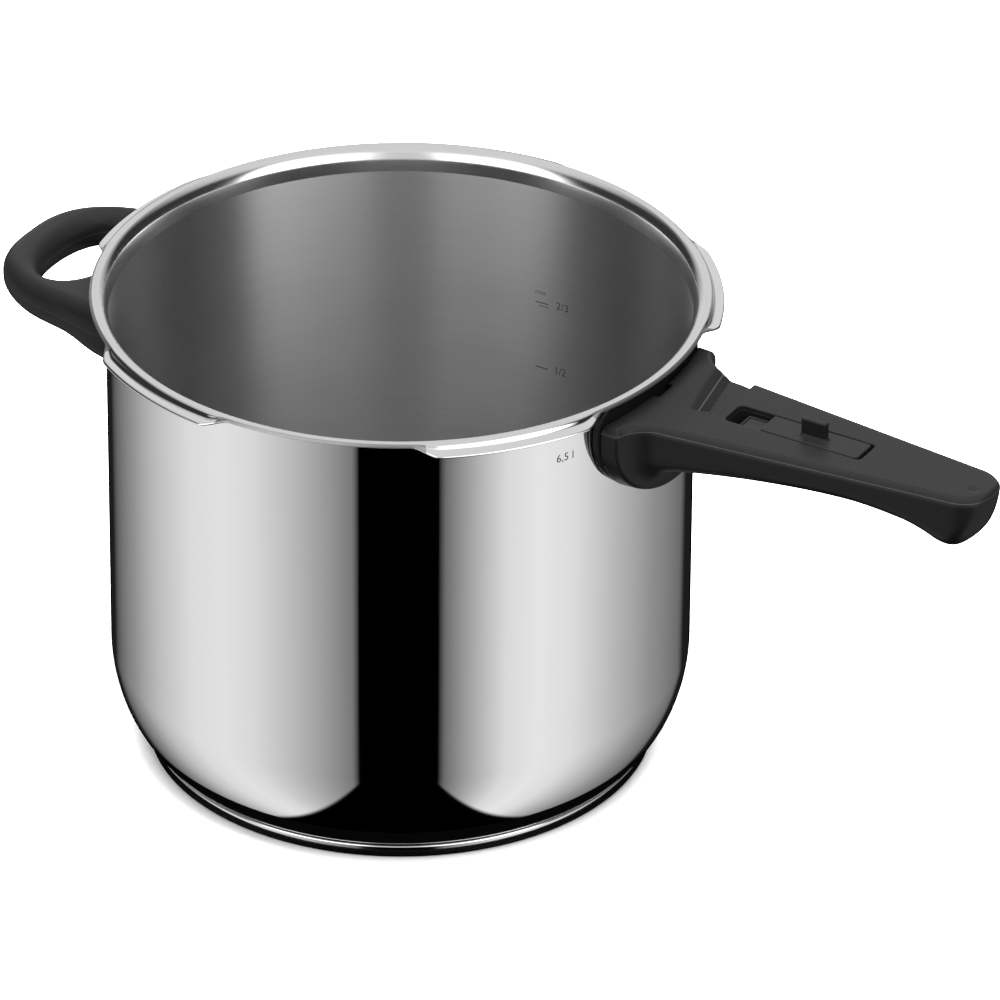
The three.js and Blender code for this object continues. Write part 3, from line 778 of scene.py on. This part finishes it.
def make_marks(material):
    inner = {"radius": WALL_R - SHEET, "outside": False}
    outer = {"radius": WALL_R, "outside": True}
    line_mark("mark_line_max", 5.8, 0.45, material, azimuth=93.2, z=131.6, **inner)
    line_mark("mark_line_max_low", 4.2, 0.35, material, azimuth=92.4, z=130.3, **inner)
    line_mark("mark_line_half", 5.8, 0.45, material, azimuth=93.1, z=102.8, **inner)
    text_mark("mark_max", "max", 2.9, material, azimuth=93.3, z=135.6, **inner)
    text_mark("mark_two_thirds", "2/3", 4.6, material, azimuth=88.4, z=131.0, **inner)
    text_mark("mark_half", "1/2", 4.6, material, azimuth=88.8, z=102.2, **inner)
    text_mark("mark_volume", "6,5 l", 4.6, material, azimuth=-27.5, z=171.2, **outer)


# ---- Long handle -------------------------------------------------------------------------------

UNDERSIDE = smooth_line([
    (100, 155), (121, 158.6), (131, 161.8), (142, 163.6), (158, 165.6), (173.5, 166.9), (189, 167.6),
    (205, 167.3), (221, 165), (229.5, 162.4), (237, 159.2), (243, 159.3), (249, 163.6), (252.5, 168.5),
    (255.5, 176), (258, 186),
])


def underside(x):
    return np.interp(x, UNDERSIDE[:, 0], UNDERSIDE[:, 1])


def below(x, z):
    """Distance under the grip's underside, shortened where that slopes."""
    slope = (underside(x + 0.5) - underside(x - 0.5)) / 1.0
    return (underside(x) - z) / np.sqrt(1 + slope**2)


def grip_plan(x, y):
    """The grip from above: straight sides drawn in towards a round end."""
    u, v = GRIP_END - END_R - x, np.abs(y)
    side = math.sqrt(1 - TAPER**2) * v - TAPER * u - END_R
    return np.where(math.sqrt(1 - TAPER**2) * u + TAPER * v < 0, np.hypot(u, v) - END_R, side)


def shield_outline(y, z, bottom):
    return oval(y, np.maximum(SHIELD_MID_Z - z, 0), SHIELD_HALF, SHIELD_MID_Z - bottom, SHIELD_POWER)


def grip_top(x, y, z):
    r = np.hypot(x, y)
    crown = 0.7 + 1.9 * np.maximum(1 - (y / 36) ** 2, 0)
    return z - GRIP_TOP - crown * (1 - smoothstep(r, SEAM_R, 130))


def trough(x, y, z):
    """A shallow trough over the far part of the top: a slope a little askew, a floor and a step."""
    along = x + TROUGH["skew"] * y
    slope = (GRIP_TOP - TROUGH["floor"]) / (TROUGH["foot"] - TROUGH["x0"])
    floor = TROUGH["floor"] + slope * np.maximum(TROUGH["foot"] - along, 0)
    step = x - TROUGH["x1"] - 0.35 * (z - GRIP_TOP)
    return np.maximum(np.maximum(floor - z, step), TROUGH["y0"] + TROUGH["slant"] * (x - TROUGH["x1"]) - y)


def long_handle(x, y, z):
    r = np.hypot(x, y)
    neck = round_both(grip_plan(x, y), below(x, z), 8)
    root = round_both(shield_outline(y, z, SHIELD_BOTTOM), r - FLANGE_OUT, 1.4)
    body = round_either(neck, root, 7.5)
    body = round_both(body, grip_top(x, y, z), 3.6)
    body = round_both(body, SEAM_R - r, 0.5)
    body = round_both(body, -trough(x, y, z), 0.4)
    cuts = [
        block(x, y, z, (110, -8.2, 178.5), (116.8, 2.2, 196), 1.4),
        block(x, y, z, (SLOT["x0"], -SLOT["half"], 140), (SLOT["x1"], SLOT["half"], 196), SLOT["corner"]),
        block(x, y, z, (100, -9.2, 166.4), (137, 9.2, 175.4), 0.6),
        pillar(x, y, z, (SCREW_X, 0), 5.3, 130, 160.5),
        pillar(x, y, z, (SCREW_X, 0), 2.7, 150, 170),
        pillar(x, y, z, (138.5, -4.5), 1.7, GRIP_TOP - 0.5, 196),
        np.sqrt((x - 246) ** 2 + (y + 3) ** 2 + (z - GRIP_TOP - 3.2) ** 2) - 3.8,
        *[pillar(x, y, z, (screw["x"], 0), KEEPER_BORE_R, 155, 176) for screw in KEEPER_SCREWS],
        np.maximum(block(x, y, z, (138.2, -8.6, 150), (206.8, 8.6, 175), 1), -below(x, z) - KEEPER_T - GAP),
    ]
    for cut in cuts:
        body = round_both(body, -cut, 0.35)
    return body


def collar(x, y, z):
    r = np.hypot(x, y)
    outline = shield_outline(y, z, SHIELD_BOTTOM)
    band = round_both(r - COLLAR_OUT, COLLAR_IN - r, 0.4)
    edge = round_both(outline, z - 189 + np.maximum(112.4 - r, 0) * 2, 9)
    window = block(x, y, z, (90, -15, 157), (130, 15, 179), 0.5)
    return np.maximum(round_both(band, edge, 0.7), -window)


def locking_slide(x, y, z):
    top, half = GRIP_TOP, SLIDE["half"]
    plate = block(x, y, z, (SLIDE["x0"], -half, top - SLIDE["t"]), (SLIDE["x1"], half, top), 0.5)
    corners = block(x, y, z, (SLIDE["x0"], -half, 100), (SLIDE["x1"], half, 300), SLIDE["corner"])
    plate = np.maximum(plate, corners)
    tab_top = SLIDE_HIGH.z / MM
    tab = block(x, y, z, (TAB["x0"], TAB["y0"], top - 2), (TAB["x1"], TAB["y1"], tab_top), 0.6)
    x0, x1, foot_half = SLIDE_FOOT["x0"], SLIDE_FOOT["x1"], SLIDE_FOOT["half"]
    foot = block(x, y, z, (x0, -foot_half, SLIDE_FOOT["z"]), (x1, foot_half, top - 1), 0.4)
    body = np.minimum(round_either(plate, tab, 1.3), foot)
    pin_way = np.maximum(np.hypot(y, z - PIN_Z) - 1.5, np.abs(x - 194) - 4)
    return np.maximum(body, -pin_way)


def guide_block(x, y, z):
    body = block(x, y, z, (147.5, -5.9, 170.6), (197.6, 5.9, 178.5), 0.6)
    tray = block(x, y, z, (148.3, -5.1, 177.5), (196.8, 5.1, 190), 0.5)
    groove = block(x, y, z, (158.6, -2.9, 171.5), (196.6, 2.9, 190), 0.4)
    bore = np.hypot(y, z - PIN_Z)
    spring_way = np.maximum(bore - 2.4, np.abs(x - 155) - 4.8)
    pin_hole = np.maximum(bore - 1.3, x - 151)
    body = round_both(round_both(body, -tray, 0.2), -groove, 0.3)
    return np.maximum(body, -np.minimum(spring_way, pin_hole))


def slide_keeper(x, y, z):
    plate = block(x, y, z, (138.5, -8.3, 150), (206.5, 8.3, 175), 1)
    body = round_both(np.maximum(plate, -below(x, z) - KEEPER_T), below(x, z), 0.3)
    for screw in KEEPER_SCREWS:
        head_top = screw["head"] + KEEPER_HEAD["height"] + GAP
        body = np.maximum(body, -pillar(x, y, z, (screw["x"], 0), KEEPER_BORE_R, 150, 176))
        body = np.maximum(body, -pillar(x, y, z, (screw["x"], 0), KEEPER_HEAD["r"], 150, head_top))
    return body


# ---- Side handle -------------------------------------------------------------------------------

LOOP_TOP = smooth_line([(-180, 169.8), (-150, 169.5), (-140, 169.5), (-118, 170.7), (-90, 171)])
LOOP_BOTTOM = smooth_line([
    (-180, 154.4), (-160, 154.2), (-145, 153.6), (-125, 153.4), (-110, 150.5), (-90, 147.6),
])


def side_handle(x, y, z):
    r = np.hypot(x, y)
    flare = 1 + LOOP_FLARE / LOOP_HALF * smoothstep(x, -130, -104)
    outer = oval(np.maximum(-LOOP_ROOT - x, 0), y / flare, LOOP_END - LOOP_ROOT, LOOP_HALF, LOOP_POWER)
    hole = oval(x + FINGER_HOLE["x"], y, FINGER_HOLE["half_x"], FINGER_HOLE["half_y"], FINGER_HOLE["power"])
    plan = np.maximum(outer, -hole)
    top = z - np.interp(x, LOOP_TOP[:, 0], LOOP_TOP[:, 1])
    bottom = np.interp(x, LOOP_BOTTOM[:, 0], LOOP_BOTTOM[:, 1]) - z
    body = round_both(round_both(plan, top, 6.7), bottom, 7)
    body = round_both(body, COLLAR_IN - r, 0.8)
    cuts = [
        block(x, y, z, (-120.7, -9.4, 158.4), (-100, 9.4, 165.6), 0.4),
        np.maximum(block(x, y, z, (-130, -14.3, 154.1), (-90, 14.3, 168.6), 0.4), r - 113.6),
        pillar(x, y, z, (SIDE_SCREW_X, 0), 4.4, 130, 156.6),
        pillar(x, y, z, (SIDE_SCREW_X, 0), 2.2, 150, 160),
    ]
    for cut in cuts:
        body = round_both(body, -cut, 0.3)
    return body


def box_mm(node):
    low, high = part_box(node)
    return [value / MM for value in low], [value / MM for value in high]


def make_handles():
    # The grip's lighter line 1.8 mm under its top is a painted highlight on the edge's crest, drawn over
    # the parting seam.
    grip = black_plastic("plastic_grip", seam_and_highlight_z=GRIP_TOP - 1.8)
    loop = black_plastic("plastic_loop", seam_and_highlight_z=LOOP_Z + 0.4)
    guard = black_plastic("plastic_guard", tone=0.007, roughness=0.35)
    inner = black_plastic("plastic_inner", tone=0.011, roughness=0.33)
    slide = black_plastic("plastic_slide", tone=0.007, roughness=0.36)
    pieces = [
        ("long_grip", long_handle, "long_handle", 0.7, grip, "pot", "black_plastic"),
        ("flame_guard", collar, "handle_collar", 0.6, guard, "pot", "black_plastic"),
        ("lock_slide", locking_slide, "locking_slide", 0.35, slide, "slide", "slide_plastic"),
        ("slide_guide", guide_block, "guide_block", 0.45, inner, "pot", "black_plastic"),
        ("keeper_plate", slide_keeper, "slide_keeper", 0.5, inner, "pot", "black_plastic"),
        ("loop_handle", side_handle, "side_handle", 0.8, loop, "pot", "black_plastic"),
    ]
    for name, shape, node, voxel, material, body, slot in pieces:
        low, high = box_mm(node)
        high = [high[0], high[1], high[2] + 3]
        piece = surface(name, shape, low, high, voxel, material)
        finish_piece(piece, body, slot, node)


def make_spring():
    """The return spring; the slide presses it together towards its fixed end."""
    low, high = np.array(box_mm("slide_spring"))
    middle = (low + high) / 2
    wire, sides = SPRING["wire"], SPRING["sides"]
    coil = (high[1] - low[1]) / 2 - wire
    steps = SPRING["turns"] * SPRING["steps_a_turn"]
    around = 2 * math.pi * SPRING["turns"] * np.linspace(0, 1, steps + 1)
    x = np.linspace(low[0] + wire, high[0] - wire, steps + 1)
    outward = np.stack([0 * x, np.cos(around), np.sin(around)], 1)
    centre = np.array([0, middle[1], middle[2]]) + coil * outward
    centre[:, 0] = x
    along = np.gradient(centre, axis=0)
    along /= np.linalg.norm(along, axis=1)[:, None]
    across = np.cross(along, outward)
    turn = 2 * math.pi * np.arange(sides) / sides
    ring = np.cos(turn)[:, None] * outward[:, None] + np.sin(turn)[:, None] * across[:, None]
    points = (centre[:, None] + wire * ring).reshape(-1, 3)
    faces = []
    for i in range(steps):
        for j in range(sides):
            k = (j + 1) % sides
            faces.append([i * sides + j, i * sides + k, (i + 1) * sides + k, (i + 1) * sides + j])
    faces.append(list(range(sides))[::-1])
    faces.append([steps * sides + j for j in range(sides)])
    steel = plain_steel("steel_spring", tone=0.42, roughness=0.25)
    piece = add_mesh("return_spring", points, faces, [steel])
    finish_piece(piece, "pot", "plain_steel", "slide_spring")
    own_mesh(piece)


def dress_cad_nodes():
    """The nodes that no piece replaces keep their CAD shape and get a metal finish of their own."""
    fastener = plain_steel()
    bracket = plain_steel("steel_bracket", tone=0.5, roughness=0.4)
    finishes = {
        "base_core": aluminium(),
        "long_bracket": bracket,
        "side_bracket": bracket,
    }
    for name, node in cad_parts.items():
        if node.hide_render:
            continue
        material = finishes.get(name, fastener)
        for material_slot in node.material_slots:
            material_slot.material = material


make_camera()
make_light()
make_stage()
make_shell(polished_steel(), brushed_steel(), rim_steel(), etched_mark())
make_capsule(capsule_steel())
make_handles()
make_spring()
dress_cad_nodes()
